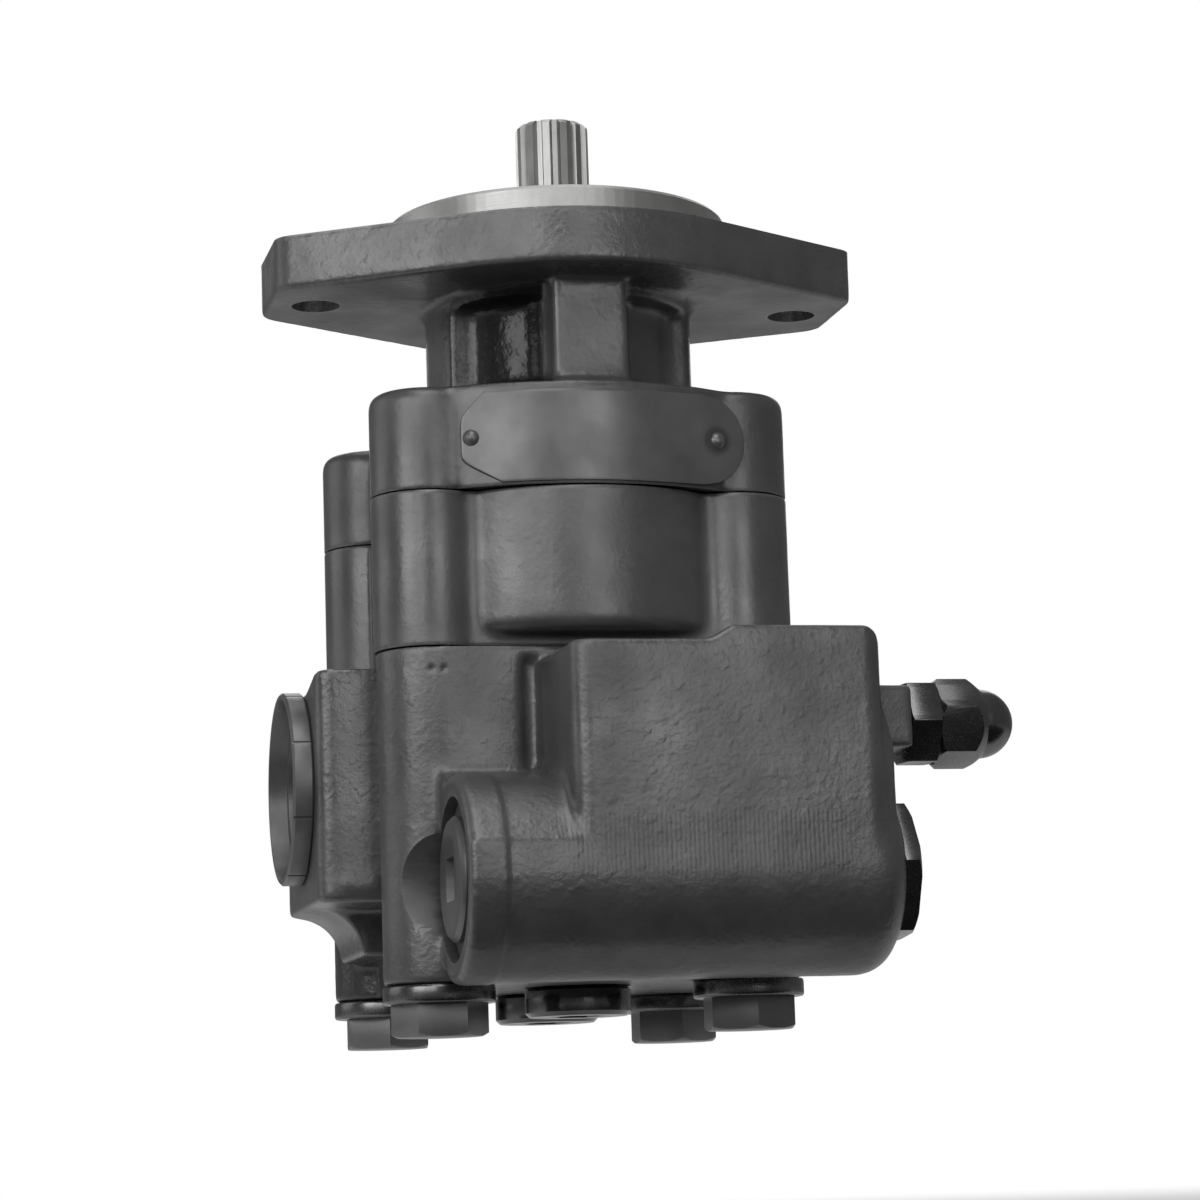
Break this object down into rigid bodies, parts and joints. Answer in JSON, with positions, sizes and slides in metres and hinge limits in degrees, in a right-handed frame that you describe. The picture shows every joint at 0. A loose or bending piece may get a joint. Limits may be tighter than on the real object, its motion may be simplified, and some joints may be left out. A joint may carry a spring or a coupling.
{
  "type": "hydraulic gear pump",
  "caption": "Cast-iron external gear pump with a two-bolt flange, splined drive shaft, side inlet and a priority and relief valve block on its end cover.",
  "frame": {"origin": "centre of the mounting face, where the pilot's axis, which is the drive shaft's axis, meets it", "axes": "+Z out along the drive shaft, +X along the flange's two bolt holes towards the relief valve, -Y towards the valve block"},
  "size_m": [0.2063, 0.1803, 0.2735],
  "materials": {
    "painted_casting": "semi-gloss charcoal paint over cast iron",
    "painted_plate": "satin charcoal paint over sheet metal",
    "painted_steel": "satin charcoal paint over turned steel",
    "ground_steel": "ground",
    "bearing_steel": "polished",
    "cage_brass": "satin",
    "bronze": "satin",
    "seal_rubber": "matt",
    "pressed_steel": "satin",
    "black_steel": "black oxide",
    "plug_steel": "glossy black",
    "spring_steel": "bright wire"
  },
  "bodies": {
    "pump_casing": {"shaft_end_cover": "painted_casting", "gear_housing": "painted_casting", "port_end_cover": "painted_casting", "front_thrust_plate": "bronze", "rear_thrust_plate": "bronze", "front_pocket_seal": "seal_rubber", "rear_pocket_seal": "seal_rubber", "front_housing_seal": "seal_rubber", "rear_housing_seal": "seal_rubber", "drive_front_bushing": "bronze", "driven_front_bushing": "bronze", "drive_rear_bushing": "bronze", "driven_rear_bushing": "bronze", "bearing_outer_ring": "bearing_steel", "bearing_retaining_ring": "black_steel", "shaft_seal_case": "pressed_steel", "shaft_seal_lip": "seal_rubber", "dowel_pins": "ground_steel", "tie_bolts": "black_steel", "tie_bolt_washers": "black_steel", "nameplate": "painted_plate", "nameplate_rivets": "painted_plate", "inlet_adaptor": "painted_steel", "inlet_adaptor_seal": "seal_rubber", "drive_bore_plug": "plug_steel", "driven_bore_plug": "plug_steel", "bore_plug_seals": "seal_rubber", "spool_spring": "spring_steel", "spool_end_plug": "black_steel", "spool_socket_plug": "painted_steel", "spool_plug_seals": "seal_rubber", "relief_seat": "ground_steel", "relief_screw_seal": "seal_rubber", "relief_spring": "spring_steel", "relief_adjusting_screw": "black_steel", "relief_lock_nut": "black_steel", "relief_cap_nut": "black_steel"},
    "drive_shaft": {"drive_gear_shaft": "ground_steel", "bearing_inner_ring": "bearing_steel"},
    "ball_cage": {"bearing_balls": "bearing_steel", "bearing_cage": "cage_brass"},
    "driven_shaft": {"driven_gear_shaft": "ground_steel"},
    "spool": {"priority_spool": "ground_steel"},
    "poppet": {"relief_poppet": "ground_steel"}
  },
  "joints": [
    {"name": "shaft_spin", "type": "hinge", "parent": "pump_casing", "child": "drive_shaft", "pos_m": [0, 0, 0], "axis": [0, 0, 1], "continuous": true},
    {"name": "driven_spin", "type": "hinge", "parent": "pump_casing", "child": "driven_shaft", "pos_m": [0, 0.045, 0], "axis": [0, 0, 1], "continuous": true},
    {"name": "cage_spin", "type": "hinge", "parent": "pump_casing", "child": "ball_cage", "pos_m": [0, 0, 0], "axis": [0, 0, 1], "continuous": true},
    {"name": "spool_slide", "type": "slide", "parent": "pump_casing", "child": "spool", "axis": [1, 0, 0], "range_m": [0, 0.006], "stiffness_N_per_m": 800, "springref_m": -0.004, "deforming": ["spool_spring"]},
    {"name": "poppet_lift", "type": "slide", "parent": "pump_casing", "child": "poppet", "axis": [1, 0, 0], "range_m": [0, 0.002], "stiffness_N_per_m": 800, "springref_m": -0.004, "deforming": ["relief_spring"]}
  ],
  "couplings": [
    {"joint": "driven_spin", "follows": "shaft_spin", "ratio": -1},
    {"joint": "cage_spin", "follows": "shaft_spin", "ratio": 0.397}
  ]
}
